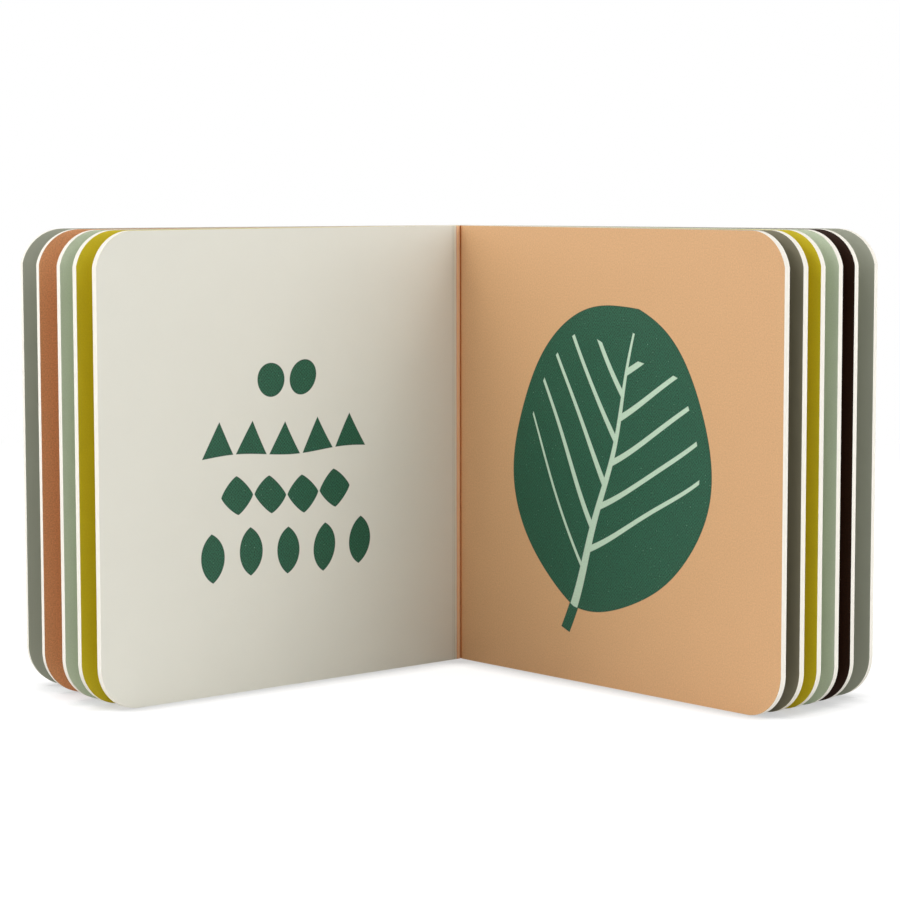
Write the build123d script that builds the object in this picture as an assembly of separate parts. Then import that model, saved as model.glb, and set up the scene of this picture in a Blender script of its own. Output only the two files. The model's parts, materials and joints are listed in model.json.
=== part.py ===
from build123d import *
import os
from itertools import accumulate
from math import acos, cos, degrees, radians, sin

# A board book that stands on its tail edges, opened in a V at a middle spread.
# Seen from above, the V opens towards -Y. Leaves left of the open spread lie in
# front of it in reading order, and leaves right of it lie behind.

# Trim size of the leaves and the covers, in millimetres.
page_width = 150.0
page_height = 150.0
board_thickness = 2.2

# The corner die rounds the tail corners flush. At the head it stands a little
# proud of the fore edge, which leaves a faint kink where the arc ends.
tail_corner_radius = 14.0
head_corner_radius = 14.0
head_die_overhang = 0.3

# How far the two open pages turn out from straight ahead, in degrees, and how
# far each further leaf, and then the cover, stands open from the one before it.
open_page_left_deg = 48.5
open_page_right_deg = 40.6
leaf_gaps_left_deg = (3.5, 3.1, 5.2)
leaf_gaps_right_deg = (2.4, 2.4, 2.7, 2.6)
front_cover_gap_deg = 5.1
back_cover_gap_deg = 3.8
leaves_left_deg = tuple(accumulate((open_page_left_deg, *leaf_gaps_left_deg)))
leaves_right_deg = tuple(accumulate((open_page_right_deg, *leaf_gaps_right_deg)))
front_cover_deg = leaves_left_deg[-1] + front_cover_gap_deg
back_cover_deg = leaves_right_deg[-1] + back_cover_gap_deg

# Depth of the glued folds that join the leaves behind the gutters.
fold_depth = 0.8

# Running clearance of a cover at its crease, all round.
crease_gap = 0.3

# The hollow spine panel: card thickness, and the flat stretch on each side
# between the crease line and the round.
spine_card = 0.6
spine_shoulder = 1.0


def heading(side, turn_deg):
    """Direction from the gutter to the fore edge, for side -1 (left) or 1 (right)."""
    turn = radians(turn_deg)
    return Vector(side * sin(turn), -cos(turn), 0)


def outward(side, turn_deg):
    """Direction through a board, from its reading side to its outer side."""
    turn = radians(turn_deg)
    return Vector(side * cos(turn), sin(turn), 0)


def board_outline(root):
    """Outline of a die-cut board, x from the gutter and y from the tail, from x = root."""
    tail = tail_corner_radius
    head = head_corner_radius
    kink_deg = degrees(acos((head - head_die_overhang) / head))
    tail_arc = CenterArc((page_width - tail, tail), tail, -90, 90)
    head_centre = (page_width - head + head_die_overhang, page_height - head)
    head_arc = CenterArc(head_centre, head, kink_deg, 90 - kink_deg)
    return make_face(
        [
            Line((root, 0), tail_arc @ 0),
            tail_arc,
            Line(tail_arc @ 1, head_arc @ 0),
            head_arc,
            Line(head_arc @ 1, (root, page_height)),
            Line((root, page_height), (root, 0)),
        ]
    )


def board(side, turn_deg, corner, root):
    """One board with its reading side through the vertical line at corner."""
    plane = Plane(
        origin=corner,
        x_dir=heading(side, turn_deg),
        z_dir=-side * outward(side, turn_deg),
    )
    return extrude(plane * board_outline(root), amount=-side * board_thickness)


def gutters(side, turns_deg):
    """Gutter lines from the open spread outwards, one board thickness apart."""
    corners = [Vector(0, 0, 0)]
    for turn_deg in turns_deg:
        corners.append(corners[-1] + board_thickness * outward(side, turn_deg))
    return corners


def page_leaves(side, turns_deg):
    """The leaves of one side, which run on behind their gutters into the folds."""
    corners = gutters(side, turns_deg)
    return [
        board(side, turn_deg, corner, -fold_depth)
        for turn_deg, corner in zip(turns_deg, corners)
    ]


def crease(side, turns_deg, cover_deg):
    """The line a cover turns on: the middle of its root, clear of the last leaf."""
    last_gutter = gutters(side, turns_deg)[-1]
    return last_gutter + (crease_gap + board_thickness / 2) * outward(side, cover_deg)


def cover(side, turns_deg, cover_deg):
    """A cover board whose root is rounded about its own crease line."""
    axis = crease(side, turns_deg, cover_deg)
    reading_side = axis - board_thickness / 2 * outward(side, cover_deg)
    root = Pos(axis) * Cylinder(
        board_thickness / 2, page_height, align=(Align.CENTER, Align.CENTER, Align.MIN)
    )
    return board(side, cover_deg, reading_side, 0) + root


def spine_section(left_x, right_x, front_y, shoulder_y):
    """Horizontal section of a straight-sided panel with a round back."""
    radius = (right_x - left_x) / 2
    back = CenterArc((left_x + radius, shoulder_y), radius, 0, 180)
    return make_face(
        [
            Line((right_x, front_y), (right_x, shoulder_y)),
            back,
            Line((left_x, shoulder_y), (left_x, front_y)),
            Line((left_x, front_y), (right_x, front_y)),
        ]
    )


def spine_panel(pages):
    """The hollow panel between the covers, seated on the outermost folds."""
    left_crease = crease(-1, leaves_left_deg, front_cover_deg)
    right_crease = crease(1, leaves_right_deg, back_cover_deg)
    left_x = left_crease.X + board_thickness / 2 + crease_gap
    right_x = right_crease.X - board_thickness / 2 - crease_gap
    shoulder_y = max(left_crease.Y, right_crease.Y) + spine_shoulder
    outside = spine_section(left_x, right_x, 0, shoulder_y)
    inside = spine_section(left_x + spine_card, right_x - spine_card, 0, shoulder_y)
    card = extrude(outside - inside, amount=page_height)
    behind_pages = card - pages
    return behind_pages.solids().sort_by(Axis.Y)[-1]


def book():
    """Every piece by name, about the gutter line of the open spread."""
    leaves = page_leaves(-1, leaves_left_deg) + page_leaves(1, leaves_right_deg)
    page_block = Part() + leaves
    return {
        "page_block": page_block,
        "front_cover": cover(-1, leaves_left_deg, front_cover_deg),
        "back_cover": cover(1, leaves_right_deg, back_cover_deg),
        "spine": spine_panel(page_block),
    }


pieces = book()
whole = Compound(children=[piece.solid() for piece in pieces.values()]).bounding_box()
centred = Pos(-whole.center().X, -whole.center().Y, 0)
os.makedirs("parts", exist_ok=True)
for name, piece in pieces.items():
    export_step(centred * piece.solid(), f"parts/{name}.step")
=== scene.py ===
import json
import logging
import math
from collections.abc import Iterable, Mapping, Sequence
from dataclasses import dataclass, field
from enum import Enum, IntEnum
from itertools import accumulate, pairwise
from typing import ClassVar

import bmesh
import bpy
from mathutils import Matrix, Vector


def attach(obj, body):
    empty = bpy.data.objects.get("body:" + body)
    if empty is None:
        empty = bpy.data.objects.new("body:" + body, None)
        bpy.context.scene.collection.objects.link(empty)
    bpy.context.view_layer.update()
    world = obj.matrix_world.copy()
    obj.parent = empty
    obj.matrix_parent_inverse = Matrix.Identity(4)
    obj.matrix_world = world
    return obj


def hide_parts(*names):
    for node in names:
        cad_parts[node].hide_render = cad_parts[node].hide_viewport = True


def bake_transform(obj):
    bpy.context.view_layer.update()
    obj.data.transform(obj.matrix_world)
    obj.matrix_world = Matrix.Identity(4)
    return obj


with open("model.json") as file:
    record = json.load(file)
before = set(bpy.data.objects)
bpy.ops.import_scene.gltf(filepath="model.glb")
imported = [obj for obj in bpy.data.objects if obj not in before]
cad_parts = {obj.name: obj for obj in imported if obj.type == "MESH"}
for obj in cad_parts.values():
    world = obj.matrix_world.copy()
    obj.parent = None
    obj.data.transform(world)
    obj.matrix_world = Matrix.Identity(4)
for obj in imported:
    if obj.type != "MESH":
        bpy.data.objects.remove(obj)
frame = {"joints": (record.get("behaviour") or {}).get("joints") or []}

log = logging.getLogger("board_book")

# Sizes are written in millimetres, apart from those of the studio. The frame is in metres.
MM = 0.001
UP = Vector((0.0, 0.0, 1.0))
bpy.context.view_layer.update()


class Value:
    """A number in a shader, which takes Python arithmetic."""

    def __init__(self, graph: "Graph", socket: bpy.types.NodeSocket) -> None:
        """Wraps one output socket of a graph."""
        self.graph = graph
        self.socket = socket

    def math(self, operation: str, *operands: "Value | float") -> "Value":
        """Adds one Math node.

        Args:
            operation: The node's operation.
            operands: Its inputs in order.

        Returns:
            The node's result.
        """
        sockets = dict(enumerate(operands))
        node = self.graph.add("ShaderNodeMath", {"operation": operation}, sockets)
        return Value(self.graph, node.outputs[0])

    def __add__(self, other: "Value | float") -> "Value":
        """Sum."""
        return self.math("ADD", self, other)

    def __radd__(self, other: float) -> "Value":
        """Sum with a number on the left."""
        return self.math("ADD", other, self)

    def __sub__(self, other: "Value | float") -> "Value":
        """Difference."""
        return self.math("SUBTRACT", self, other)

    def __rsub__(self, other: float) -> "Value":
        """Difference from a number on the left."""
        return self.math("SUBTRACT", other, self)

    def __mul__(self, other: "Value | float") -> "Value":
        """Product."""
        return self.math("MULTIPLY", self, other)

    def __rmul__(self, other: float) -> "Value":
        """Product with a number on the left."""
        return self.math("MULTIPLY", other, self)

    def __truediv__(self, other: "Value | float") -> "Value":
        """Quotient."""
        return self.math("DIVIDE", self, other)

    def __rtruediv__(self, other: float) -> "Value":
        """Quotient of a number on the left."""
        return self.math("DIVIDE", other, self)

    def __pow__(self, other: "Value | float") -> "Value":
        """Power."""
        return self.math("POWER", self, other)

    def __neg__(self) -> "Value":
        """Negative."""
        return self * -1.0

    def __abs__(self) -> "Value":
        """Absolute value."""
        return self.math("ABSOLUTE", self)

    def fraction(self) -> "Value":
        """Part after the decimal point."""
        return self.math("FRACT", self)

    def wave(self, length: float) -> "Value":
        """A sine wave along this distance, between -1 and 1."""
        return self.math("SINE", self * (math.tau / length))

    def at_least(self, other: "Value | float") -> "Value":
        """The larger of the two."""
        return self.math("MAXIMUM", self, other)

    def at_most(self, other: "Value | float") -> "Value":
        """The smaller of the two."""
        return self.math("MINIMUM", self, other)

    def above(self, level: float) -> "Value":
        """1 where this is over a level, and 0 elsewhere."""
        return self.math("GREATER_THAN", self, level)

    def rise(self, start: float, end: float) -> "Value":
        """A smooth step.

        Args:
            start: Where the result is 0.
            end: Where the result is 1.

        Returns:
            The step, clamped to 0 and 1.
        """
        settings = {"interpolation_type": "SMOOTHSTEP"}
        sockets = {"Value": self, "From Min": start, "From Max": end}
        node = self.graph.add("ShaderNodeMapRange", settings, sockets)
        return Value(self.graph, node.outputs["Result"])

    def inside(self, soft: float) -> "Value":
        """1 where this distance is negative, with an edge twice as wide as soft."""
        return 1.0 - self.rise(-soft, soft)

    def stripe(self, middle: float, half_width: float, soft: float) -> "Value":
        """1 within half a width of the middle, and 0 a little further out."""
        return 1.0 - abs(self - middle).rise(half_width, half_width + soft)


SocketValue = Value | bpy.types.NodeSocket | float | Sequence[float]


class Graph:
    """A node tree under construction."""

    def __init__(self, tree: bpy.types.NodeTree) -> None:
        """Empties the tree."""
        self.tree = tree
        self.tree.nodes.clear()

    def add(
        self,
        kind: str,
        settings: Mapping[str, object] | None = None,
        sockets: Mapping[str | int, SocketValue] | None = None,
    ) -> bpy.types.Node:
        """Adds one node.

        Args:
            kind: The node's type.
            settings: Its properties, which are set before its sockets.
            sockets: A value or a link for each named or numbered input.

        Returns:
            The node.
        """
        node = self.tree.nodes.new(kind)
        for name, setting in (settings or {}).items():
            setattr(node, name, setting)
        for name, value in (sockets or {}).items():
            target = node.inputs[name]
            if isinstance(value, Value):
                self.tree.links.new(value.socket, target)
            elif isinstance(value, bpy.types.NodeSocket):
                self.tree.links.new(value, target)
            else:
                target.default_value = value
        return node

    def place(self) -> tuple[Value, Value, Value]:
        """Finds where a point lies on its own piece.

        Returns:
            Its places along the piece's three axes, in millimetres.
        """
        own = self.add("ShaderNodeTexCoord").outputs["Object"]
        parts = self.add("ShaderNodeSeparateXYZ", sockets={"Vector": own})
        x, y, z = (Value(self, parts.outputs[axis]) * (1.0 / MM) for axis in "XYZ")
        return x, y, z

    def grain(self, *size_mm: float, detail: float = 2.0) -> Value:
        """Noise about zero.

        Args:
            size_mm: Size of its features, or their sizes along the piece's own three axes.
            detail: How many finer layers it has.

        Returns:
            The noise, between about -0.5 and 0.5.
        """
        sizes = size_mm * 3 if len(size_mm) == 1 else size_mm
        own = self.add("ShaderNodeTexCoord").outputs["Object"]
        stretch = {0: own, 1: tuple(1.0 / (size * MM) for size in sizes)}
        scaled = self.add("ShaderNodeVectorMath", {"operation": "MULTIPLY"}, stretch)
        sockets = {"Vector": scaled.outputs[0], "Scale": 1.0, "Detail": detail}
        noise = self.add("ShaderNodeTexNoise", sockets=sockets)
        return Value(self, noise.outputs["Fac"]) - 0.5

    def mix(
        self,
        share: Value | float,
        first: SocketValue,
        second: SocketValue,
        blend: str = "MIX",
    ) -> bpy.types.NodeSocket:
        """Mixes two colours.

        Args:
            share: How much of the second one.
            first: The colour underneath.
            second: The colour on top.
            blend: How they mix.

        Returns:
            The mixed colour.
        """
        settings = {"data_type": "RGBA", "blend_type": blend}
        node = self.add("ShaderNodeMix", settings, {0: share, 6: first, 7: second})
        return node.outputs[2]

    def tone(self, colour: SocketValue, strength: Value) -> bpy.types.NodeSocket:
        """A colour made lighter or darker all over by a factor about 1."""
        grey = self.add("ShaderNodeCombineXYZ", sockets={axis: strength for axis in "XYZ"})
        return self.mix(1.0, colour, grey.outputs[0], "MULTIPLY")


class MaterialGraph(Graph):
    """The node tree of one new material."""

    def __init__(self, name: str) -> None:
        """Makes an empty material.

        Args:
            name: Its name.
        """
        self.material = bpy.data.materials.new(name)
        self.material.use_nodes = True
        super().__init__(self.material.node_tree)

    def surface(self, shader: bpy.types.NodeSocket) -> bpy.types.Material:
        """Ends the material in this shader."""
        self.add("ShaderNodeOutputMaterial", sockets={"Surface": shader})
        return self.material

    def board_surface(
        self,
        colour: SocketValue,
        roughness: SocketValue,
        gloss: float,
        relief: Value,
        depth_mm: float,
    ) -> bpy.types.Material:
        """Ends the material as paper or board.

        Args:
            colour: Its colour.
            roughness: Its roughness.
            gloss: Its specular level.
            relief: Height of the surface, about 0 to 1.
            depth_mm: What a height of 1 stands for.

        Returns:
            The material.
        """
        heights = {"Strength": 1.0, "Distance": depth_mm * MM, "Height": relief}
        normal = self.add("ShaderNodeBump", sockets=heights).outputs["Normal"]
        sockets = {
            "Base Color": colour,
            "Roughness": roughness,
            "Specular IOR Level": gloss,
            "Normal": normal,
        }
        return self.surface(self.add("ShaderNodeBsdfPrincipled", sockets=sockets).outputs[0])


def linear(level: float) -> float:
    """One channel of a written colour, 0 to 1, as light."""
    return level / 12.92 if level <= 0.04045 else ((level + 0.055) / 1.055) ** 2.4


class Ink(Enum):
    """The colours of the book, as they are written."""

    CREAM = "dfded3"
    PEACH = "d6a879"
    TAUPE = "938d77"
    MUSTARD = "dbca2b"
    SAGE = "d1dac1"
    TERRACOTTA = "dba16f"
    DARK_BROWN = "2f1605"
    GREY_GREEN = "b1b3a2"
    DARK_GREEN = "1a513a"
    MINT = "bdd6be"
    WHITE_BOARD = "f5f1e7"
    BOARD_SHADE = "e2dccd"
    # Painted shade: the dark brown of the gutter crease, on the valley film and as the dark line
    # in the right page's crease.
    CREASE_SHADE_BROWN = "cf7228"
    FOLD_OLIVE = "8f8a6c"
    FOLD_LIGHT = "e0d6b4"
    # Painted highlight: a lighter peach where the peach ink runs over the rounded fold.
    PEACH_BLEED_HIGHLIGHT = "f0c69b"

    @property
    def rgba(self) -> tuple[float, float, float, float]:
        """The colour as light, opaque."""
        red, green, blue = (int(self.value[i : i + 2], 16) / 255 for i in (0, 2, 4))
        return linear(red), linear(green), linear(blue), 1.0


# How strongly the fine grain of the print shows in each ink, and in the others.
PRINT_TOOTH = {
    Ink.CREAM: 0.02,
    Ink.PEACH: 0.4,
    Ink.MUSTARD: 0.2,
    Ink.SAGE: 0.2,
    Ink.TERRACOTTA: 0.75,
    Ink.DARK_BROWN: 2.4,
}
PLAIN_TOOTH = 0.05


class Shape(Enum):
    """A simple printed shape."""

    DISC = "disc"
    TRIANGLE = "triangle"
    DIAMOND = "diamond"
    PETAL = "petal"


@dataclass(frozen=True)
class ShapeRow:
    """One row of equal printed shapes, in millimetres on the page."""

    shape: Shape
    count: int
    pitch: float
    radius: float
    height: float
    diamond_power: float = 1.25
    petal_bow: float = 0.55

    def edge(self, across: Value, up: Value) -> Value:
        """Distance from the edge of the nearest shape.

        Args:
            across: Distance from the middle of the row.
            up: Height on the page.

        Returns:
            The distance, negative inside.
        """
        cell = (across / self.pitch + 0.5 * (self.count % 2)).fraction() - 0.5
        ends = abs(across) - self.count * self.pitch / 2
        return self.outline(abs(cell * self.pitch), up - self.height).at_least(ends)

    def outline(self, right: Value, up: Value) -> Value:
        """Distance from the edge of one shape.

        Args:
            right: Distance from its middle line.
            up: Height over its middle.

        Returns:
            The distance, negative inside.
        """
        if self.shape is Shape.DISC:
            return (right * right + up * up) ** 0.5 - self.radius
        if self.shape is Shape.DIAMOND:
            power = self.diamond_power
            return (right**power + abs(up) ** power) ** (1.0 / power) - self.radius
        if self.shape is Shape.TRIANGLE:
            lean = math.radians(30.0)
            flank = right * math.cos(lean) + up * math.sin(lean)
            return flank.at_least(-up) - self.radius / 2
        bow = self.radius * self.petal_bow
        reach = math.hypot(self.radius, bow)
        return ((right + bow) ** 2.0 + up * up) ** 0.5 - reach


@dataclass(frozen=True)
class ShapeRows:
    """Rows of simple shapes, centred on the page, from the head down."""

    middle: float = 76.3
    rows: tuple[ShapeRow, ...] = (
        ShapeRow(Shape.DISC, 2, 13.4, 5.6, 101.6),
        ShapeRow(Shape.TRIANGLE, 5, 13.7, 7.3, 80.6),
        ShapeRow(Shape.DIAMOND, 4, 13.2, 6.3, 63.6),
        ShapeRow(Shape.PETAL, 5, 15.4, 7.9, 45.0),
    )

    def edges(self, across: Value, up: Value) -> tuple[Value, None]:
        """Distances from the edge of the print.

        Args:
            across: Distance from the gutter.
            up: Height on the page.

        Returns:
            The distance from the green, and None, as nothing is printed over it.
        """
        from_middle = across - self.middle
        nearest = self.rows[0].edge(from_middle, up)
        for row in self.rows[1:]:
            nearest = nearest.at_most(row.edge(from_middle, up))
        return nearest, None


@dataclass(frozen=True)
class BigLeaf:
    """One big printed leaf, in millimetres on the page."""

    centre: tuple[float, float] = (74.0, 74.5)
    tilt_deg: float = 17.0
    length: float = 104.0
    width: float = 91.0
    bend: float = 0.0009
    rib_width: float = 3.4
    rib_taper: float = 1.25
    rib_stop: float = 8.0
    vein_width: float = 2.1
    vein_taper: float = 0.009
    vein_pitch: float = 15.5
    vein_slope: float = 0.82
    vein_curl: float = 0.005
    vein_margin: float = 5.5
    vein_start: float = 13.0
    vein_stop: float = 16.0
    stalk_width: float = 2.1
    stalk_length: float = 9.0

    def edges(self, across: Value, up: Value) -> tuple[Value, Value]:
        """Distances from the edges of the print.

        Args:
            across: Distance from the gutter.
            up: Height on the page.

        Returns:
            The distance from the green leaf, and from its mint veins.
        """
        tilt = math.radians(self.tilt_deg)
        right, rise = across - self.centre[0], up - self.centre[1]
        along = right * math.sin(tilt) + rise * math.cos(tilt)
        aside = right * math.cos(tilt) - rise * math.sin(tilt) + along * along * self.bend
        from_base = along + self.length / 2
        blade = self.blade(abs(aside), along)
        stalk = (abs(aside) - self.stalk_width).at_least(abs(from_base) - self.stalk_length)
        veins = self.veins(aside, along).at_least(blade + self.vein_margin)
        taper = 1.0 - from_base / (self.length * self.rib_taper)
        rib = abs(aside) - taper * (self.rib_width / 2)
        rib = rib.at_least(along - (self.length / 2 - self.rib_stop))
        return blade.at_most(stalk), rib.at_most(veins).at_least(blade)

    def blade(self, aside: Value, along: Value) -> Value:
        """Distance from the edge of the blade, which is two arcs.

        Args:
            aside: Distance from the rib.
            along: Distance up the rib from the middle of the leaf.

        Returns:
            The distance, negative inside.
        """
        reach = (self.length**2 + self.width**2) / (4 * self.width)
        bow = reach - self.width / 2
        return ((aside + bow) ** 2.0 + along * along) ** 0.5 - reach

    def veins(self, aside: Value, along: Value) -> Value:
        """Distance from the nearest side vein.

        Args:
            aside: Distance right of the rib.
            along: Distance up the rib from the middle of the leaf.

        Returns:
            The distance, negative on a vein.
        """
        out = abs(aside)
        slant = along - out * self.vein_slope - out * out * self.vein_curl
        stagger = aside.above(0.0) * 0.5
        phase = (slant / self.vein_pitch + stagger).fraction() - 0.5
        lean = math.cos(math.atan(self.vein_slope))
        half_width = (1.0 - out * self.vein_taper) * (self.vein_width / 2)
        vein = abs(phase) * (self.vein_pitch * lean) - half_width
        vein = vein.at_least(self.vein_start - slant - self.length / 2)
        return vein.at_least(along - (self.length / 2 - self.vein_stop))


@dataclass(frozen=True)
class FoldMark:
    """A line of colour along the gutter, in millimetres."""

    place: float
    half_width: float
    strength: float
    ink: Ink


@dataclass(frozen=True)
class FoldLines:
    """What a page shows along its gutter: ink that runs over the fold, and lines of colour. Some
    of these are painted shade and painted highlight.
    """

    marks: tuple[FoldMark, ...]
    mark_soft: float = 0.15
    highlit_bleed: Ink | None = None
    bleed_width: float = 1.75
    bleed_soft: float = 0.06
    ragged_size: tuple[float, float, float] = (1.0, 1.0, 2.5)
    ragged: float = 0.18
    line_patch_size: tuple[float, float, float] = (1.0, 1.0, 9.0)
    line_patchiness: float = 1.2

    def over(self, graph: Graph, colour: SocketValue, x: Value) -> SocketValue:
        """Lays the bleed, whose lighter ink paints a highlight on the fold, and the lines over the
        print.

        Args:
            graph: The material.
            colour: The print.
            x: Distance from the gutter.

        Returns:
            The colour.
        """
        ragged = x + graph.grain(*self.ragged_size) * self.ragged
        # Ink that runs over the fold; on the left page it is a lighter peach, a painted highlight.
        if self.highlit_bleed is not None:
            highlit_bleed = (ragged - self.bleed_width).inside(self.bleed_soft)
            colour = graph.mix(highlit_bleed, colour, self.highlit_bleed.rgba)
        line_patchiness = 1.0 + graph.grain(*self.line_patch_size) * self.line_patchiness
        for mark in self.marks:
            line = ragged.stripe(mark.place, mark.half_width, self.mark_soft)
            colour = graph.mix(line * line_patchiness * mark.strength, colour, mark.ink.rgba)
        return colour


LEFT_FOLD_LINES = FoldLines(
    marks=(
        FoldMark(1.7, 0.1, 0.45, Ink.CREASE_SHADE_BROWN),
        FoldMark(2.3, 0.3, 0.3, Ink.FOLD_LIGHT),
        FoldMark(3.0, 0.12, 0.3, Ink.FOLD_OLIVE),
        FoldMark(3.7, 0.15, 0.15, Ink.FOLD_OLIVE),
    ),
    # The bleed is peach ink over the fold, lightened as a painted highlight.
    highlit_bleed=Ink.PEACH_BLEED_HIGHLIGHT,
)
RIGHT_FOLD_LINES = FoldLines(
    marks=(
        # Painted shade: the dark line in the crease of the right page.
        FoldMark(0.1, 0.2, 0.8, Ink.CREASE_SHADE_BROWN),
        FoldMark(0.8, 0.3, 0.3, Ink.TERRACOTTA),
    )
)


@dataclass(frozen=True)
class GreenPrint:
    """The dark green ink, which prints as a fine canvas with a darker rim."""

    pitch: float = 1.15
    weave: float = 1.6
    drift_size: float = 2.4
    drift: float = 0.9
    patch_size: float = 6.0
    patch: float = 0.20
    tooth_size: float = 0.5
    tooth: float = 1.8
    darkest: float = 0.15
    rim_width: float = 0.45
    rim_full: float = 0.1
    rim_tone: float = 0.30
    speck_tone: float = 0.25
    speck_levels: tuple[float, float] = (0.28, 0.36)

    def colour(self, graph: Graph, x: Value, z: Value, edge: Value) -> bpy.types.NodeSocket:
        """Builds the colour.

        Args:
            graph: The material.
            x: Distance from the gutter.
            z: Height on the page.
            edge: Distance from the edge of the print.

        Returns:
            The colour.
        """
        drift = graph.grain(self.drift_size) * self.drift
        warp = ((x + z + drift) / self.pitch).fraction() - 0.5
        weft = ((x - z + drift) / self.pitch).fraction() - 0.5
        threads = abs(warp) + abs(weft) - 0.5
        fade = graph.grain(self.patch_size, detail=3.0)
        rim = edge.rise(-self.rim_width, -self.rim_full)
        tone = 1.0 + threads * (0.5 + fade) * self.weave + fade * self.patch
        tone = tone + graph.grain(self.tooth_size) * self.tooth - rim * self.rim_tone
        green = graph.tone(Ink.DARK_GREEN.rgba, tone.at_least(self.darkest))
        speck = graph.grain(self.tooth_size, detail=0.0).rise(*self.speck_levels)
        return graph.mix(speck * self.speck_tone, green, Ink.MINT.rgba)


@dataclass(frozen=True)
class PrintedFilm:
    """Ink under a matt film, on one side of a board whose own X runs from the gutter."""

    name: str
    ground: Ink
    picture: ShapeRows | BigLeaf | None = None
    fold_lines: FoldLines | None = None
    print_edge: float = 0.12
    hand_cut: float = 0.7
    cut_waves: tuple[float, float] = (58.0, 46.4)
    cut_slants: tuple[float, float] = (0.3, -0.2)
    cloud_size: float = 14.0
    cloud_tone: float = 0.03
    tooth_size: float = 0.5
    fibre_size: float = 0.22
    wave_size: float = 26.0
    wave_height: float = 6.0
    relief_depth: float = 0.02
    sheen_size: float = 3.0
    sheen_change: float = 0.12
    roughness: float = 0.55
    gloss: float = 0.35

    def material(self) -> bpy.types.Material:
        """Builds the material.

        Returns:
            The material.
        """
        graph = MaterialGraph(self.name)
        x, _, z = graph.place()
        colour = self.printed(graph, x, z)
        if self.fold_lines is not None:
            colour = self.fold_lines.over(graph, colour, x)
        tooth = PRINT_TOOTH.get(self.ground, PLAIN_TOOTH)
        clouds = graph.grain(self.cloud_size) * self.cloud_tone
        clouds = clouds + graph.grain(self.tooth_size) * tooth
        colour = graph.tone(colour, (1.0 + clouds).at_least(0.0))
        fibre = graph.grain(self.fibre_size, detail=3.0)
        relief = fibre + graph.grain(self.wave_size, detail=1.0) * self.wave_height
        sheen = self.roughness + graph.grain(self.sheen_size) * self.sheen_change
        return graph.board_surface(colour, sheen, self.gloss, relief, self.relief_depth)

    def printed(self, graph: Graph, x: Value, z: Value) -> SocketValue:
        """The ground colour with its picture.

        Args:
            graph: The material.
            x: Distance from the gutter.
            z: Height on the page.

        Returns:
            The colour.
        """
        if self.picture is None:
            return self.ground.rgba
        first_wave, second_wave = self.cut_waves
        first_slant, second_slant = self.cut_slants
        sway_x = (z + x * first_slant).wave(first_wave) * self.hand_cut
        sway_z = (x + z * second_slant).wave(second_wave) * self.hand_cut
        green, mint = self.picture.edges(x + sway_x, z + sway_z)
        canvas = GreenPrint().colour(graph, x, z, green)
        colour = graph.mix(green.inside(self.print_edge), self.ground.rgba, canvas)
        if mint is None:
            return colour
        return graph.mix(mint.inside(self.print_edge), colour, Ink.MINT.rgba)


@dataclass(frozen=True)
class CutBoard:
    """The bare white edge of a board, whose two glued sheets meet at own Y = seam."""

    name: str
    seam: float | None = None
    seam_core: float = 0.03
    seam_soft: float = 0.09
    seam_ragged: float = 0.08
    seam_tone: float = 0.75
    layer_size: tuple[float, float, float] = (2.2, 0.16, 2.2)
    layer_contrast: float = 1.6
    layer_level: float = 0.35
    layer_tone: float = 0.5
    fluff_size: float = 0.3
    fluff_height: float = 0.6
    relief_depth: float = 0.04
    roughness: float = 0.85
    gloss: float = 0.2

    def material(self) -> bpy.types.Material:
        """Builds the material.

        Returns:
            The material.
        """
        graph = MaterialGraph(self.name)
        _, y, _ = graph.place()
        layers = graph.grain(*self.layer_size)
        fluff = graph.grain(self.fluff_size, detail=3.0)
        shade = (layers * self.layer_contrast + self.layer_level).rise(0.0, 1.0)
        shade = shade * self.layer_tone
        if self.seam is not None:
            ragged = y + fluff * self.seam_ragged
            line = ragged.stripe(self.seam, self.seam_core, self.seam_soft)
            shade = shade.at_least(line * self.seam_tone)
        colour = graph.mix(shade, Ink.WHITE_BOARD.rgba, Ink.BOARD_SHADE.rgba)
        relief = layers + fluff * self.fluff_height
        return graph.board_surface(colour, self.roughness, self.gloss, relief, self.relief_depth)


class Side(IntEnum):
    """A side of the open spread, as its sign along X."""

    LEFT = -1
    RIGHT = 1


class Face(Enum):
    """A broad face of a board or a card."""

    READING = "reading"
    OUTER = "outer"
    INNER = "inner"


class Edge(Enum):
    """The lower or the upper edge of a board or a card."""

    TAIL = "tail"
    HEAD = "head"


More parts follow.
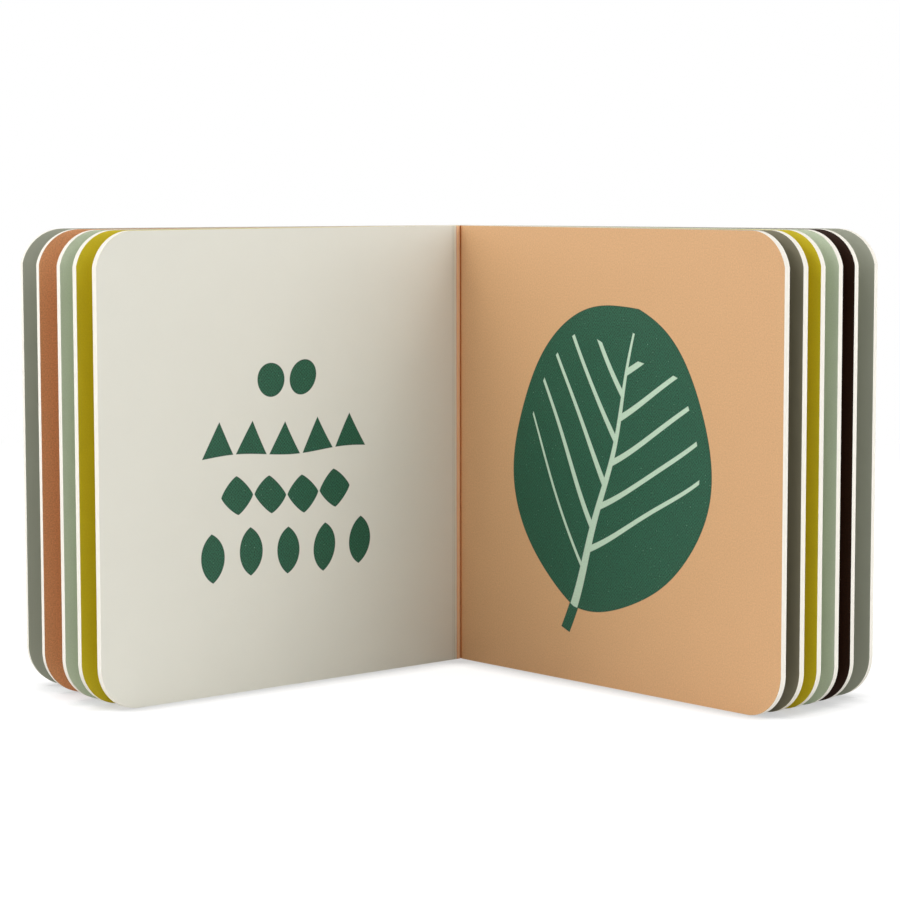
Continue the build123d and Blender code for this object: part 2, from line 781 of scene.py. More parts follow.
class MeshSketch:
    """Points and faces in millimetres, which become one Blender object."""

    ROUND_STEPS: ClassVar[int] = 3
    FILM_LEAN: ClassVar[float] = 0.8

    def __init__(self) -> None:
        """Starts an empty mesh."""
        self.bm = bmesh.new()

    def point(self, x: float, y: float, z: float) -> bmesh.types.BMVert:
        """Adds a point."""
        return self.bm.verts.new((x * MM, y * MM, z * MM))

    def face(
        self, corners: Sequence[bmesh.types.BMVert], slot: int, smooth: bool = False
    ) -> bmesh.types.BMFace:
        """Adds a face.

        Args:
            corners: Its points in order.
            slot: Its material slot.
            smooth: Whether it shades smooth.

        Returns:
            The face.
        """
        made = self.bm.faces.new(corners)
        made.material_index = slot
        made.smooth = smooth
        return made

    def strip(
        self,
        first: Sequence[bmesh.types.BMVert],
        second: Sequence[bmesh.types.BMVert],
        slot: int,
        smooth: bool = False,
    ) -> None:
        """Joins two rows of points with a row of four-sided faces.

        Args:
            first: One row.
            second: The other row, as long.
            slot: Their material slot.
            smooth: Whether they shade smooth.
        """
        for (a, b), (c, d) in zip(pairwise(first), pairwise(second)):
            self.face((a, b, d, c), slot, smooth)

    def ease(
        self,
        pairs: Iterable[tuple[bmesh.types.BMVert, bmesh.types.BMVert]],
        width: float,
        film_slots: Mapping[int, int],
        rim_slot: int,
    ) -> None:
        """Rounds sharp edges, and prints the part of each round that faces the film.

        Args:
            pairs: The two ends of each edge.
            width: Width of the round.
            film_slots: Slot for faces that look along -Y (-1) or +Y (1).
            rim_slot: Slot for the other faces.
        """
        edges = [self.bm.edges.get(pair) for pair in pairs]
        made = bmesh.ops.bevel(
            self.bm,
            geom=[edge for edge in edges if edge is not None],
            offset=width * MM,
            segments=self.ROUND_STEPS,
            profile=0.5,
            affect="EDGES",
            clamp_overlap=True,
        )
        self.bm.normal_update()
        for made_face in made["faces"]:
            made_face.smooth = True
            lean = made_face.normal.y
            film_slot = film_slots[1 if lean > 0 else -1]
            made_face.material_index = film_slot if abs(lean) > self.FILM_LEAN else rim_slot

    def piece(
        self, name: str, materials: Sequence[bpy.types.Material], place: Matrix | None = None
    ) -> bpy.types.Object:
        """Ends the mesh as a piece.

        Args:
            name: The piece's name.
            materials: Its material slots in order.
            place: Where its own axes lie in the book's frame, if not on the book's own.

        Returns:
            The object, linked into the scene.
        """
        bmesh.ops.recalc_face_normals(self.bm, faces=self.bm.faces)
        mesh = bpy.data.meshes.new(name)
        self.bm.to_mesh(mesh)
        self.bm.free()
        made = bpy.data.objects.new(name, mesh)
        for material in materials:
            mesh.materials.append(material)
        bpy.context.scene.collection.objects.link(made)
        if place is not None:
            made.matrix_world = place
        soften = made.modifiers.new("even_shading", "WEIGHTED_NORMAL")
        soften.keep_sharp = True
        bpy.context.view_layer.update()
        return made


def heading(side: Side, turn_deg: float) -> Vector:
    """Direction from the gutter to the fore edge."""
    turn = math.radians(turn_deg)
    return Vector((side * math.sin(turn), -math.cos(turn), 0.0))


def outward(side: Side, turn_deg: float) -> Vector:
    """Direction through a board, from its reading side to its outer side."""
    turn = math.radians(turn_deg)
    return Vector((side * math.cos(turn), math.sin(turn), 0.0))


@dataclass(frozen=True)
class Trim:
    """Die-cut size of every board of the book, in millimetres."""

    width: float = 150.0
    height: float = 150.0
    thickness: float = 2.2
    corner: float = 14.0
    head_overhang: float = 0.3
    edge_round: float = 0.16
    arc_steps: int = 20


@dataclass(frozen=True)
class Binding:
    """How the folds and the wrapped cover hold the boards, in millimetres."""

    fold_depth: float = 0.8
    crease_gap: float = 0.3
    spine_card: float = 0.6
    spine_shoulder: float = 1.0


@dataclass(frozen=True)
class Press:
    """How the face of a board is pressed along its fold, in millimetres."""

    crease_depth: float = 0.2
    crease_width: float = 0.8
    crease_power: float = 1.6
    crease_steps: tuple[float, ...] = (0.0, 0.15, 0.35, 0.6, 1.0)
    score_lines: tuple[tuple[float, float], ...] = ((1.9, 0.04), (3.0, 0.06))
    score_width: float = 0.3
    flat_columns: tuple[float, ...] = (6.0, 20.0, 45.0, 70.0, 95.0, 120.0)

    def columns(self) -> list[float]:
        """Where the face is cut into strips.

        Returns:
            Distances from the fold.
        """
        steps = [self.crease_width * share for share in self.crease_steps]
        for place, _ in self.score_lines:
            steps += [place - self.score_width / 2, place, place + self.score_width / 2]
        return [*steps, *self.flat_columns]

    def depth(self, x: float) -> float:
        """How far the face is pressed in.

        Args:
            x: Distance from the fold.

        Returns:
            Depth under the flat of the board.
        """
        if x < self.crease_width:
            return self.crease_depth * (1.0 - x / self.crease_width) ** self.crease_power
        return dict(self.score_lines).get(x, 0.0)


@dataclass
class Board:
    """One die-cut board, modelled flat: X from the gutter, Y through it, Z up."""

    name: str
    side: Side
    turn_deg: float
    corner: Vector
    reading: PrintedFilm
    outer: PrintedFilm
    trim: Trim
    press: Press = field(default_factory=Press)

    READING_SLOT: ClassVar[int] = 0
    OUTER_SLOT: ClassVar[int] = 1
    RIM_SLOT: ClassVar[int] = 2

    def chains(self) -> tuple[list[tuple[float, float]], list[tuple[float, float]]]:
        """The outline as two chains of (x, z) points from the gutter to the fore edge.

        Returns:
            The chain along the tail and the chain along the head, as long as each other.
        """
        trim = self.trim
        radius = trim.corner
        straight = self.press.columns()
        tail = [(x, 0.0) for x in straight]
        head = [(x, trim.height) for x in straight]
        kink = math.acos((radius - trim.head_overhang) / radius)
        tail_x = trim.width - radius
        head_x = tail_x + trim.head_overhang
        for step in range(trim.arc_steps + 1):
            share = step / trim.arc_steps
            down = math.pi / 2 * (1.0 - share)
            tail.append((tail_x + radius * math.cos(down), radius * (1.0 - math.sin(down))))
            up = math.pi / 2 + (kink - math.pi / 2) * share
            head_z = trim.height - radius * (1.0 - math.sin(up))
            head.append((head_x + radius * math.cos(up), head_z))
        return tail, head

    def depths(self, chain: Sequence[tuple[float, float]]) -> list[float]:
        """How far the reading side is pressed in at each point of a chain."""
        return [self.press.depth(x) for x, _ in chain]

    def fill(self, sketch: MeshSketch) -> None:
        """Builds the board's faces.

        Args:
            sketch: The mesh.
        """
        thick = self.trim.thickness * self.side
        rows = {}
        for edge, chain in zip(Edge, self.chains()):
            inset = [self.side * depth for depth in self.depths(chain)]
            places = [(x, z, y) for (x, z), y in zip(chain, inset)]
            rows[Face.READING, edge] = [sketch.point(x, y, z) for x, z, y in places]
            rows[Face.OUTER, edge] = [sketch.point(x, thick - y, z) for x, z, y in places]
        for face, slot in ((Face.READING, self.READING_SLOT), (Face.OUTER, self.OUTER_SLOT)):
            sketch.strip(rows[face, Edge.TAIL], rows[face, Edge.HEAD], slot)
        pairs = []
        for edge in Edge:
            sketch.strip(rows[Face.READING, edge], rows[Face.OUTER, edge], self.RIM_SLOT, True)
            pairs += [*pairwise(rows[Face.READING, edge]), *pairwise(rows[Face.OUTER, edge])]
        fore = [
            rows[Face.READING, Edge.TAIL][-1],
            rows[Face.OUTER, Edge.TAIL][-1],
            rows[Face.OUTER, Edge.HEAD][-1],
            rows[Face.READING, Edge.HEAD][-1],
        ]
        sketch.face(fore, self.RIM_SLOT, True)
        pairs += [(fore[0], fore[3]), (fore[1], fore[2])]
        pairs += self.root(sketch, {key: row[0] for key, row in rows.items()})
        film_slots = {-self.side: self.READING_SLOT, self.side: self.OUTER_SLOT}
        sketch.ease(pairs, self.trim.edge_round, film_slots, self.RIM_SLOT)

    def root(
        self, sketch: MeshSketch, starts: Mapping[tuple[Face, Edge], bmesh.types.BMVert]
    ) -> list[tuple[bmesh.types.BMVert, bmesh.types.BMVert]]:
        """Closes the board at its fold.

        Args:
            sketch: The mesh.
            starts: The first point of each chain.

        Returns:
            The edges there that are rounded.
        """
        corners = (
            starts[Face.READING, Edge.TAIL],
            starts[Face.READING, Edge.HEAD],
            starts[Face.OUTER, Edge.HEAD],
            starts[Face.OUTER, Edge.TAIL],
        )
        sketch.face(corners, self.RIM_SLOT)
        return []

    def place(self) -> Matrix:
        """Puts the board where it stands.

        Returns:
            Its own axes in the book's frame.
        """
        along = heading(self.side, self.turn_deg)
        through = UP.cross(along)
        turned = Matrix((along, through, UP)).transposed().to_4x4()
        return Matrix.Translation(self.corner * MM) @ turned

    def build(self, body: str, slot: str, node: str) -> bpy.types.Object:
        """Makes the piece.

        Args:
            body: The body it moves with.
            slot: The record's material slot; not used.
            node: The node it stands for.

        Returns:
            The piece.
        """
        sketch = MeshSketch()
        self.fill(sketch)
        rim = CutBoard(f"{self.name}_cut_edge", self.side * self.trim.thickness / 2)
        materials = [self.reading.material(), self.outer.material(), rim.material()]
        made = sketch.piece(self.name, materials, self.place())
        return seat(made, body, node)


@dataclass
class CoverBoard(Board):
    """A cover board, whose root is rounded about its own crease line."""

    nose_steps: int = 12

    def depths(self, chain: Sequence[tuple[float, float]]) -> list[float]:
        """Nothing but the score lines: a cover's face is flat up to its root."""
        crease = self.press.crease_width
        return [0.0 if x < crease else self.press.depth(x) for x, _ in chain]

    def root(
        self, sketch: MeshSketch, starts: Mapping[tuple[Face, Edge], bmesh.types.BMVert]
    ) -> list[tuple[bmesh.types.BMVert, bmesh.types.BMVert]]:
        """Closes the board with a round nose.

        Args:
            sketch: The mesh.
            starts: The first point of each chain.

        Returns:
            The edges of the nose, which are rounded.
        """
        radius = self.trim.thickness / 2
        rows = {}
        pairs = []
        for edge, z in ((Edge.TAIL, 0.0), (Edge.HEAD, self.trim.height)):
            row = [starts[Face.READING, edge]]
            for step in range(1, self.nose_steps):
                turn = math.pi * step / self.nose_steps
                y = self.side * radius * (1.0 - math.cos(turn))
                row.append(sketch.point(-radius * math.sin(turn), y, z))
            row.append(starts[Face.OUTER, edge])
            rows[edge] = row
            sketch.face(row, self.RIM_SLOT)
            pairs += list(pairwise(row))
        half = self.nose_steps // 2
        for first, last, slot in (
            (0, half, self.READING_SLOT),
            (half, self.nose_steps, self.OUTER_SLOT),
        ):
            steps = slice(first, last + 1)
            sketch.strip(rows[Edge.TAIL][steps], rows[Edge.HEAD][steps], slot, True)
        return pairs


@dataclass
class Fan:
    """The boards of one side of the open spread, from the gutter outwards."""

    side: Side
    first_deg: float
    gaps_deg: tuple[float, ...]
    cover_gap_deg: float
    gutter: Vector
    thickness: float

    @property
    def turns(self) -> list[float]:
        """How far each leaf turns out from straight ahead."""
        return list(accumulate((self.first_deg, *self.gaps_deg)))

    @property
    def cover_turn(self) -> float:
        """How far the cover turns out from straight ahead."""
        return self.turns[-1] + self.cover_gap_deg

    def corners(self) -> list[Vector]:
        """The gutter line of each leaf.

        Returns:
            One point each, and then where the next one would be.
        """
        corners = [self.gutter.copy()]
        for turn in self.turns:
            corners.append(corners[-1] + self.thickness * outward(self.side, turn))
        return corners

    def fold_turns(self, other_first_deg: float) -> list[float]:
        """Direction of each fold behind its gutter line, halfway between its two leaves.

        Args:
            other_first_deg: Turn of the facing page.

        Returns:
            One turn per gutter line.
        """
        turns = [(self.first_deg - other_first_deg) / 2]
        turns += [(a + b) / 2 for a, b in pairwise(self.turns)]
        return [*turns, self.turns[-1]]


@dataclass
class FoldStack:
    """The folds of the sheets behind the gutters, glued into one stack."""

    left: Fan
    right: Fan
    trim: Trim
    binding: Binding
    seam_depth: float = 0.35
    lap: float = 0.4
    inset: float = 0.26
    valley_lap: float = 0.1
    valley_inset: float = 0.36
    valley_depth: float = 0.6
    end_gap: float = 0.04
    steps: int = 12

    def back(self, fan: Fan, other: Fan) -> list[Vector]:
        """The back of one side's folds, from the open spread outwards.

        Args:
            fan: That side.
            other: The other side.

        Returns:
            Points along the stack seen from above.
        """
        full = self.binding.fold_depth
        corners = fan.corners()
        folds = fan.fold_turns(other.first_deg)
        points = []
        for index, turn in enumerate(fan.turns):
            across = outward(fan.side, turn) * fan.thickness
            for step in range(self.steps):
                share = step / self.steps
                crown = 1.0 - abs(2.0 * share - 1.0)
                round_off = math.sqrt(1.0 - crown * crown)
                depth = self.seam_depth + (full - self.seam_depth) * round_off
                end_turn = folds[index] if share < 0.5 else folds[index + 1]
                lean = end_turn + (turn - end_turn) * crown
                points.append(corners[index] + across * share - heading(fan.side, lean) * depth)
        points.append(corners[-1] - heading(fan.side, fan.turns[-1]) * full)
        return points

    def front(self, fan: Fan) -> list[Vector]:
        """The front of one side's folds, inside the roots of its leaves.

        Args:
            fan: That side.

        Returns:
            Points along the stack seen from above, from the open spread outwards.
        """
        points = []
        for index, (turn, (near, far)) in enumerate(zip(fan.turns, pairwise(fan.corners()))):
            along, out = heading(fan.side, turn), outward(fan.side, turn)
            near_lap = self.lap if index else self.valley_lap
            near_inset = self.inset if index else self.valley_inset
            points.append(near + along * near_lap + out * near_inset)
            points.append(far + along * self.lap - out * self.inset)
        return points

    def build(self) -> bpy.types.Object:
        """Makes the piece, whose front is the valley of the open spread, coloured in painted
        crease shade.

        Returns:
            The piece.
        """
        back = [*reversed(self.back(self.left, self.right)), *self.back(self.right, self.left)[1:]]
        left_front, right_front = self.front(self.left), self.front(self.right)
        valley = self.left.gutter + Vector((0.0, self.valley_depth, 0.0))
        outline = [*back, *reversed(right_front), valley, *left_front]
        sketch = MeshSketch()
        top = self.trim.height - self.end_gap
        low = [sketch.point(p.x, p.y, self.end_gap) for p in outline]
        high = [sketch.point(p.x, p.y, top) for p in outline]
        sketch.strip([*low, low[0]], [*high, high[0]], 0, True)
        # The two walls that meet at the valley point take slot 1, the painted crease shade.
        middle = len(back) + len(right_front)
        for wall in sketch.bm.faces:
            if low[middle] in wall.verts:
                wall.material_index = 1
        for row in (low, high):
            cap = sketch.face(row, 0)
            bmesh.ops.triangulate(sketch.bm, faces=[cap])
        board = CutBoard("fold_stack_board")
        # Painted shade: the peach sheet in the valley is coloured dark brown for the shade of the
        # crease.
        valley_shade_film = PrintedFilm("gutter_valley_painted_shade", Ink.CREASE_SHADE_BROWN)
        made = sketch.piece("fold_stack", [board.material(), valley_shade_film.material()])
        return seat(made, "pages", "page_block")


@dataclass
class SpinePanel:
    """The hollow panel of the wrapped cover, with a round back."""

    left: Fan
    right: Fan
    left_axis: Vector
    right_axis: Vector
    trim: Trim
    binding: Binding
    seat_depth: float = 0.25
    steps: int = 40
    edge_round: float = 0.1

    FILM_SLOT: ClassVar[int] = 0
    BARE_SLOT: ClassVar[int] = 1

    @property
    def left_x(self) -> float:
        """The outer face of its left leg."""
        return self.left_axis.x + self.trim.thickness / 2 + self.binding.crease_gap

    @property
    def right_x(self) -> float:
        """The outer face of its right leg."""
        return self.right_axis.x - self.trim.thickness / 2 - self.binding.crease_gap

    @property
    def radius(self) -> float:
        """Radius of its round back, outside."""
        return (self.right_x - self.left_x) / 2

    @property
    def shoulder_y(self) -> float:
        """Where its straight legs end and its round begins."""
        return max(self.left_axis.y, self.right_axis.y) + self.binding.spine_shoulder

    def leg_front(self, fan: Fan, x: float) -> float:
        """Where a leg of the panel meets the outermost fold.

        Args:
            fan: That side.
            x: Across the leg.

        Returns:
            Its front end.
        """
        corners = fan.corners()
        root = heading(fan.side, fan.turns[-1]) * self.binding.fold_depth
        near, far = corners[-2] - root, corners[-1] - root
        share = (x - near.x) / (far.x - near.x)
        return near.y + (far.y - near.y) * share - self.seat_depth

    def path(self, inset: float) -> list[Vector]:
        """The panel's section seen from above, from the left leg round to the right.

        Args:
            inset: How far inside the outer surface.

        Returns:
            Points along it.
        """
        left, right = self.left_x + inset, self.right_x - inset
        centre, radius = (left + right) / 2, (right - left) / 2
        points = [Vector((left, self.leg_front(self.left, left), 0.0))]
        for step in range(self.steps + 1):
            turn = math.pi * (1.0 - step / self.steps)
            y = self.shoulder_y + radius * math.sin(turn)
            points.append(Vector((centre + radius * math.cos(turn), y, 0.0)))
        points.append(Vector((right, self.leg_front(self.right, right), 0.0)))
        return points

    def build(self, film: PrintedFilm) -> bpy.types.Object:
        """Makes the piece.

        Args:
            film: The finish of its outer side.

        Returns:
            The piece.
        """
        sketch = MeshSketch()
        rows = {}
        for face, inset in ((Face.OUTER, 0.0), (Face.INNER, self.binding.spine_card)):
            path = self.path(inset)
            for edge, z in ((Edge.TAIL, 0.0), (Edge.HEAD, self.trim.height)):
                rows[face, edge] = [sketch.point(p.x, p.y, z) for p in path]
        for face, slot in ((Face.OUTER, self.FILM_SLOT), (Face.INNER, self.BARE_SLOT)):
            sketch.strip(rows[face, Edge.TAIL], rows[face, Edge.HEAD], slot, True)
        pairs = []
        for edge in Edge:
            sketch.strip(rows[Face.OUTER, edge], rows[Face.INNER, edge], self.BARE_SLOT)
            pairs += [*pairwise(rows[Face.OUTER, edge]), *pairwise(rows[Face.INNER, edge])]
        for end in (0, -1):
            corners = (
                rows[Face.OUTER, Edge.TAIL][end],
                rows[Face.OUTER, Edge.HEAD][end],
                rows[Face.INNER, Edge.HEAD][end],
                rows[Face.INNER, Edge.TAIL][end],
            )
            sketch.face(corners, self.BARE_SLOT)
        film_slots = {-1: self.BARE_SLOT, 1: self.FILM_SLOT}
        sketch.ease(pairs, self.edge_round, film_slots, self.BARE_SLOT)
        board = CutBoard("spine_card_bare")
        made = sketch.piece("spine_panel", [film.material(), board.material()])
        return seat(made, "pages", "spine")


@dataclass
class CreaseSkin:
    """The thin wrap of the cover, which runs on from a cover board to the spine panel."""

    fan: Fan
    axis: Vector
    panel: SpinePanel
    body: str
    trim: Trim
    lap: float = 3.2
    lift: float = 0.05
    sink: float = 0.06
    film: float = 0.09
    end_gap: float = 0.15
    valley_out: float = 0.5
    valley_front: float = 0.55
    valley_sag: float = 0.06
    nose_lean_deg: float = 2.0
    panel_lap_deg: tuple[float, ...] = (-3.0, 4.0, 12.0, 20.0, 28.0)
    steps: int = 4
    levels: int = 4

    def board_lap(self) -> list[Vector]:
        """The skin on the outside of the cover board and round its nose.

        Returns:
            Points seen from above, towards the spine.
        """
        along = heading(self.fan.side, self.fan.cover_turn)
        out = outward(self.fan.side, self.fan.cover_turn)
        radius = self.trim.thickness / 2
        points = [self.axis + along * self.lap + out * (radius - self.sink)]
        for step in range(1, self.steps + 1):
            reach = self.lap * (1.0 - step / self.steps)
            points.append(self.axis + along * reach + out * (radius + self.lift))
        start = math.atan2(out.y, out.x)
        end = math.radians(90.0 + self.fan.side * self.nose_lean_deg)
        for step in range(1, self.steps + 1):
            turn = start + (end - start) * step / self.steps
            ray = Vector((math.cos(turn), math.sin(turn), 0.0))
            points.append(self.axis + ray * (radius + self.lift))
        return points

    def spine_x(self) -> float:
        """The face of the spine panel's leg on this side."""
        return self.panel.left_x if self.fan.side is Side.LEFT else self.panel.right_x

    def line(self) -> list[Vector]:
        """The skin seen from above.

        Returns:
            Points from the cover board to the spine panel.
        """
        side, spine_x, shoulder_y = self.fan.side, self.spine_x(), self.panel.shoulder_y
        points = self.board_lap()
        valley_x = spine_x + side * self.valley_out
        valley = Vector((valley_x, shoulder_y - self.valley_front, 0.0))
        points.append((points[-1] + valley) / 2 - Vector((0.0, self.valley_sag, 0.0)))
        points.append(valley)
        centre = Vector((spine_x - side * self.panel.radius, shoulder_y, 0.0))
        last_deg = self.panel_lap_deg[-1]
        for turn_deg in self.panel_lap_deg:
            turn = math.radians(turn_deg)
            reach = self.panel.radius + (-self.sink if turn_deg == last_deg else self.lift)
            ray = Vector((side * math.cos(turn), math.sin(turn), 0.0))
            points.append(centre + ray * reach)
        return points

    def build(self, film: PrintedFilm) -> bpy.types.Object:
        """Makes the piece.

        Args:
            film: Its finish.

        Returns:
            The piece.
        """
        sketch = MeshSketch()
        line = self.line()
        span = self.trim.height - 2 * self.end_gap
        levels = [self.end_gap + span * step / (self.levels - 1) for step in range(self.levels)]
        grid = [[sketch.point(p.x, p.y, z) for p in line] for z in levels]
        for lower, upper in pairwise(grid):
            sketch.strip(lower, upper, 0, True)
        made = sketch.piece(f"{self.body}_crease_skin", [film.material()])
        thick = made.modifiers.new("film", "SOLIDIFY")
        thick.thickness = self.film * MM
        thick.offset = 0.0
        middle_z = self.trim.height / 2
        start = Vector((self.spine_x(), self.axis.y, middle_z)) * MM
        clear = self.fan.side * self.panel.binding.crease_gap
        end = Vector((self.axis.x + clear, self.axis.y, middle_z)) * MM
        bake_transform(made)
        return made


def seat(piece: bpy.types.Object, body: str, node: str) -> bpy.types.Object:
    """Makes a piece ride on a body and stand for a node.

    Args:
        piece: The piece.
        body: The body it moves with.
        node: The node it stands for.

    Returns:
        The piece.
    """
    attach(piece, body)
    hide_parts(node)
    return piece


@dataclass(frozen=True)
class SoftBox:
    """One soft lamp, aimed at the middle of the book, in metres and watts."""

    name: str
    at: tuple[float, float, float]
    size: tuple[float, float]
    power: float
    aim_height: float = 0.08

    def build(self) -> None:
        """Hangs the lamp."""
        data = bpy.data.lights.new(self.name, "AREA")
        data.shape = "RECTANGLE"
        data.size, data.size_y = self.size
        data.energy = self.power
        made = bpy.data.objects.new(self.name, data)
        bpy.context.scene.collection.objects.link(made)
        at = Vector(self.at)
        aim = Vector((0.0, 0.0, self.aim_height)) - at
        turn = aim.to_track_quat("-Z", "Y").to_matrix().to_4x4()
        made.matrix_world = Matrix.Translation(at) @ turn


@dataclass(frozen=True)
class FloorPaper:
    """The floor, which shows white but keeps the shadow of the book, with a painted contact shadow
    near it.
    """

    grey: float = 0.85
    white: float = 0.4
    lift: float = 0.85
    contact_reach: float = 0.013
    contact_power: float = 0.85
    contact_floor: float = 0.55
    near: float = 300.0
    far: float = 900.0

    def material(self) -> bpy.types.Material:
        """Builds the material.

        Returns:
            The material.
        """
        graph = MaterialGraph("floor_paper")
        x, y, _ = graph.place()
        plain = self.matt(graph, self.grey)
        dark = self.matt(graph, 0.0)
        lift = self.glow(graph, self.lift)
        lit = graph.add("ShaderNodeAddShader", sockets={0: self.matt(graph, self.white), 1: lift})
        # Painted contact shadow: ambient occlusion near the book mixes the floor towards black.
        reach = {"Distance": self.contact_reach}
        open_sky = graph.add("ShaderNodeAmbientOcclusion", sockets=reach)
        openness = Value(graph, open_sky.outputs["AO"]).at_least(self.contact_floor)
        clear = openness**self.contact_power
        close = self.choose(graph, clear, dark, lit.outputs[0])
        distance = (x * x + y * y) ** 0.5
        away = distance.rise(self.near, self.far)
        shown = self.choose(graph, away, close, self.glow(graph, 1.0))
        return graph.surface(self.choose(graph, background_seen(graph), plain, shown))

    def matt(self, graph: Graph, level: float) -> bpy.types.NodeSocket:
        """A matt grey."""
        sockets = {"Color": (level, level, level, 1.0)}
        return graph.add("ShaderNodeBsdfDiffuse", sockets=sockets).outputs[0]

    def glow(self, graph: Graph, level: float) -> bpy.types.NodeSocket:
        """A grey that shows at this level under any light."""
        sockets = {"Color": (level, level, level, 1.0), "Strength": 1.0}
        return graph.add("ShaderNodeEmission", sockets=sockets).outputs[0]

    def choose(
        self,
        graph: Graph,
        share: Value,
        first: bpy.types.NodeSocket,
        second: bpy.types.NodeSocket,
    ) -> bpy.types.NodeSocket:
        """Mixes two shaders."""
        return graph.add("ShaderNodeMixShader", sockets={0: share, 1: first, 2: second}).outputs[0]


def background_seen(graph: Graph) -> Value:
    """Picks out the rays that show the background: straight, off gloss or through glass.

    Args:
        graph: The floor's material or the world.

    Returns:
        1 for such a ray, and 0 for the rest.
    """
    path = graph.add("ShaderNodeLightPath")
    kinds = ("Camera", "Glossy", "Transmission")
    straight, gloss, through = (Value(graph, path.outputs[f"Is {kind} Ray"]) for kind in kinds)
    return straight.at_least(gloss).at_least(through)


@dataclass(frozen=True)
class Studio:
    """Plain pale floor, soft light and the camera."""

    floor_size: float = 6.0
    sky_level: float = 0.305
    lens_mm: float = 111.4
    sensor_mm: float = 36.0
    camera_at: tuple[float, float, float] = (2.005, -907.368, 165.556)
    pitch_deg: float = 5.541
    roll_deg: float = -0.082
    clip_range: tuple[float, float] = (0.01, 50.0)
    floor_paper: FloorPaper = FloorPaper()
    lamps: tuple[SoftBox, ...] = (
        SoftBox("back_softbox", (0.0, 1.1, 1.2), (1.6, 1.0), 2.5),
        SoftBox("left_softbox", (-1.5, -0.1, 0.7), (1.0, 1.0), 7.7),
        SoftBox("right_softbox", (1.5, -0.1, 0.7), (1.0, 1.0), 4.2),
        SoftBox("high_left_softbox", (-1.2, -0.3, 1.5), (0.9, 0.9), 11.8),
        SoftBox("high_right_softbox", (1.2, -0.3, 1.5), (0.9, 0.9), 8.8),
        SoftBox("front_left_fill", (-1.1, -1.2, 0.6), (0.8, 0.8), 3.6),
        SoftBox("front_right_fill", (1.1, -1.2, 0.6), (0.8, 0.8), 2.5),
        SoftBox("low_right_fill", (1.3, -0.9, 0.25), (0.8, 0.4), 4.0),
    )

    def camera(self) -> None:
        """Puts the camera where the photograph was taken from."""
        data = bpy.data.cameras.new("camera")
        data.lens = self.lens_mm
        data.sensor_width = self.sensor_mm
        data.clip_start, data.clip_end = self.clip_range
        made = bpy.data.objects.new("camera", data)
        bpy.context.scene.collection.objects.link(made)
        tilt = Matrix.Rotation(math.radians(90.0 - self.pitch_deg), 4, "X")
        roll = Matrix.Rotation(math.radians(self.roll_deg), 4, "Z")
        made.matrix_world = Matrix.Translation(Vector(self.camera_at) * MM) @ tilt @ roll
        bpy.context.scene.camera = made

    def floor(self) -> None:
        """Lays the floor."""
        half = self.floor_size / 2
        mesh = bpy.data.meshes.new("floor")
        corners = [(-half, -half, 0.0), (half, -half, 0.0), (half, half, 0.0), (-half, half, 0.0)]
        mesh.from_pydata(corners, [], [(0, 1, 2, 3)])
        mesh.materials.append(self.floor_paper.material())
        made = bpy.data.objects.new("floor", mesh)
        bpy.context.scene.collection.objects.link(made)

    def sky(self) -> None:
        """Soft light from all round, and white where the background shows."""
        world = bpy.data.worlds.new("studio")
        world.use_nodes = True
        bpy.context.scene.world = world
        graph = Graph(world.node_tree)
        strength = background_seen(graph) * (1.0 - self.sky_level) + self.sky_level
        sockets = {"Color": (1.0, 1.0, 1.0, 1.0), "Strength": strength}
        light = graph.add("ShaderNodeBackground", sockets=sockets)
        graph.add("ShaderNodeOutputWorld", sockets={"Surface": light.outputs[0]})

    def build(self) -> None:
        """Sets up camera, floor and light."""
        self.camera()
        self.floor()
        self.sky()
        for lamp in self.lamps:
            lamp.build()
        bpy.context.scene.view_settings.view_transform = "Standard"


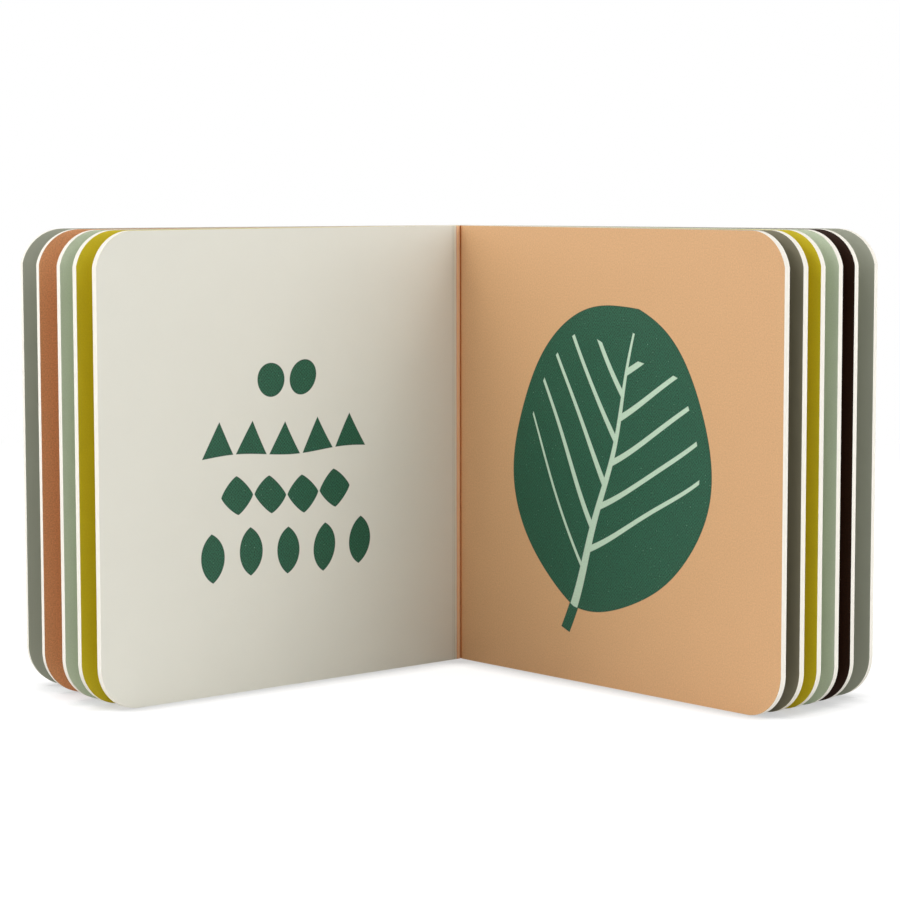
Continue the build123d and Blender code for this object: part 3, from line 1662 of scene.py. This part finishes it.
@dataclass
class BoardBook:
    """The whole book, standing open at its middle spread."""

    gutter: Vector = field(default_factory=lambda: Vector((5.666, 49.095, 0.0)))
    trim: Trim = Trim()
    binding: Binding = Binding()
    open_left_deg: float = 48.5
    open_right_deg: float = 40.6
    left_gaps_deg: tuple[float, ...] = (3.5, 3.1, 5.2)
    right_gaps_deg: tuple[float, ...] = (2.4, 2.4, 2.7, 2.6)
    front_cover_gap_deg: float = 5.1
    back_cover_gap_deg: float = 3.8
    cover_ink: Ink = Ink.GREY_GREEN
    left_inks: tuple[Ink, ...] = (Ink.CREAM, Ink.MUSTARD, Ink.SAGE, Ink.TERRACOTTA)
    right_inks: tuple[Ink, ...] = (
        Ink.PEACH,
        Ink.TAUPE,
        Ink.MUSTARD,
        Ink.SAGE,
        Ink.DARK_BROWN,
    )

    def fan(self, side: Side) -> Fan:
        """Fans out the boards of one side.

        Args:
            side: Which side.

        Returns:
            The fan.
        """
        if side is Side.LEFT:
            turns = (self.open_left_deg, self.left_gaps_deg, self.front_cover_gap_deg)
        else:
            turns = (self.open_right_deg, self.right_gaps_deg, self.back_cover_gap_deg)
        return Fan(side, *turns, self.gutter, self.trim.thickness)

    def crease(self, joint: str) -> Vector:
        """The line that a cover turns on.

        Args:
            joint: The cover's joint.

        Returns:
            Its place in millimetres, seen from above.
        """
        found = next(row for row in frame["joints"] if row["name"] == joint)
        x, y, _ = found["pos_m"]
        return Vector((x, y, 0.0)) / MM

    def open_page(self, side: Side, name: str, ground: Ink) -> PrintedFilm:
        """The finish of one page of the open spread.

        Args:
            side: Which page.
            name: The material's name.
            ground: Its ground colour.

        Returns:
            The finish.
        """
        if side is Side.LEFT:
            return PrintedFilm(name, ground, ShapeRows(), LEFT_FOLD_LINES)
        return PrintedFilm(name, ground, BigLeaf(), RIGHT_FOLD_LINES)

    def leaves(self, fan: Fan, inks: Sequence[Ink]) -> list[bpy.types.Object]:
        """Builds the leaves of one side, whose outer sides match the pages they face.

        Args:
            fan: Where they stand.
            inks: Ground colours of their reading sides, from the gutter outwards.

        Returns:
            The pieces.
        """
        pieces = []
        faced_inks = (*inks[1:], self.cover_ink)
        for index, (turn, corner) in enumerate(zip(fan.turns, fan.corners())):
            name = f"leaf_{fan.side.name.lower()}_{index + 1}"
            film = f"{name}_reading_side"
            reading = PrintedFilm(film, inks[index])
            if index == 0:
                reading = self.open_page(fan.side, film, inks[index])
            outer = PrintedFilm(f"{name}_outer_side", faced_inks[index])
            board = Board(name, fan.side, turn, corner, reading, outer, self.trim)
            pieces.append(board.build("pages", "page_board", "page_block"))
        return pieces

    def cover(self, fan: Fan, axis: Vector, node: str) -> bpy.types.Object:
        """Builds one cover board.

        Args:
            fan: The side it closes.
            axis: Its crease line.
            node: Its node and body.

        Returns:
            The piece.
        """
        corner = axis - outward(fan.side, fan.cover_turn) * (self.trim.thickness / 2)
        inside = PrintedFilm(f"{node}_inside", self.cover_ink)
        outside = PrintedFilm(f"{node}_outside", self.cover_ink)
        name, turn = f"{node}_board", fan.cover_turn
        board = CoverBoard(name, fan.side, turn, corner, inside, outside, self.trim)
        return board.build(node, "cover_board", node)

    def build(self) -> list[bpy.types.Object]:
        """Builds the book.

        Returns:
            Its pieces.
        """
        left, right = self.fan(Side.LEFT), self.fan(Side.RIGHT)
        left_axis = self.crease("front_cover_crease")
        right_axis = self.crease("back_cover_crease")
        panel = SpinePanel(left, right, left_axis, right_axis, self.trim, self.binding)
        covers = ((left, left_axis, "front_cover"), (right, right_axis, "back_cover"))
        pieces = [
            *self.leaves(left, self.left_inks),
            *self.leaves(right, self.right_inks),
            FoldStack(left, right, self.trim, self.binding).build(),
            *(self.cover(fan, axis, body) for fan, axis, body in covers),
            panel.build(PrintedFilm("spine_film", self.cover_ink)),
        ]
        for fan, axis, body in covers:
            skin = CreaseSkin(fan, axis, panel, body, self.trim)
            pieces.append(skin.build(PrintedFilm(f"{body}_crease_film", self.cover_ink)))
        return pieces


def main() -> None:
    """Builds the book and the studio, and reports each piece."""
    logging.basicConfig(level=logging.INFO, format="%(name)s: %(message)s")
    for piece in BoardBook().build():
        log.info("%s: %d faces", piece.name, len(piece.data.polygons))
    Studio().build()


if __name__ == "__main__":
    main()
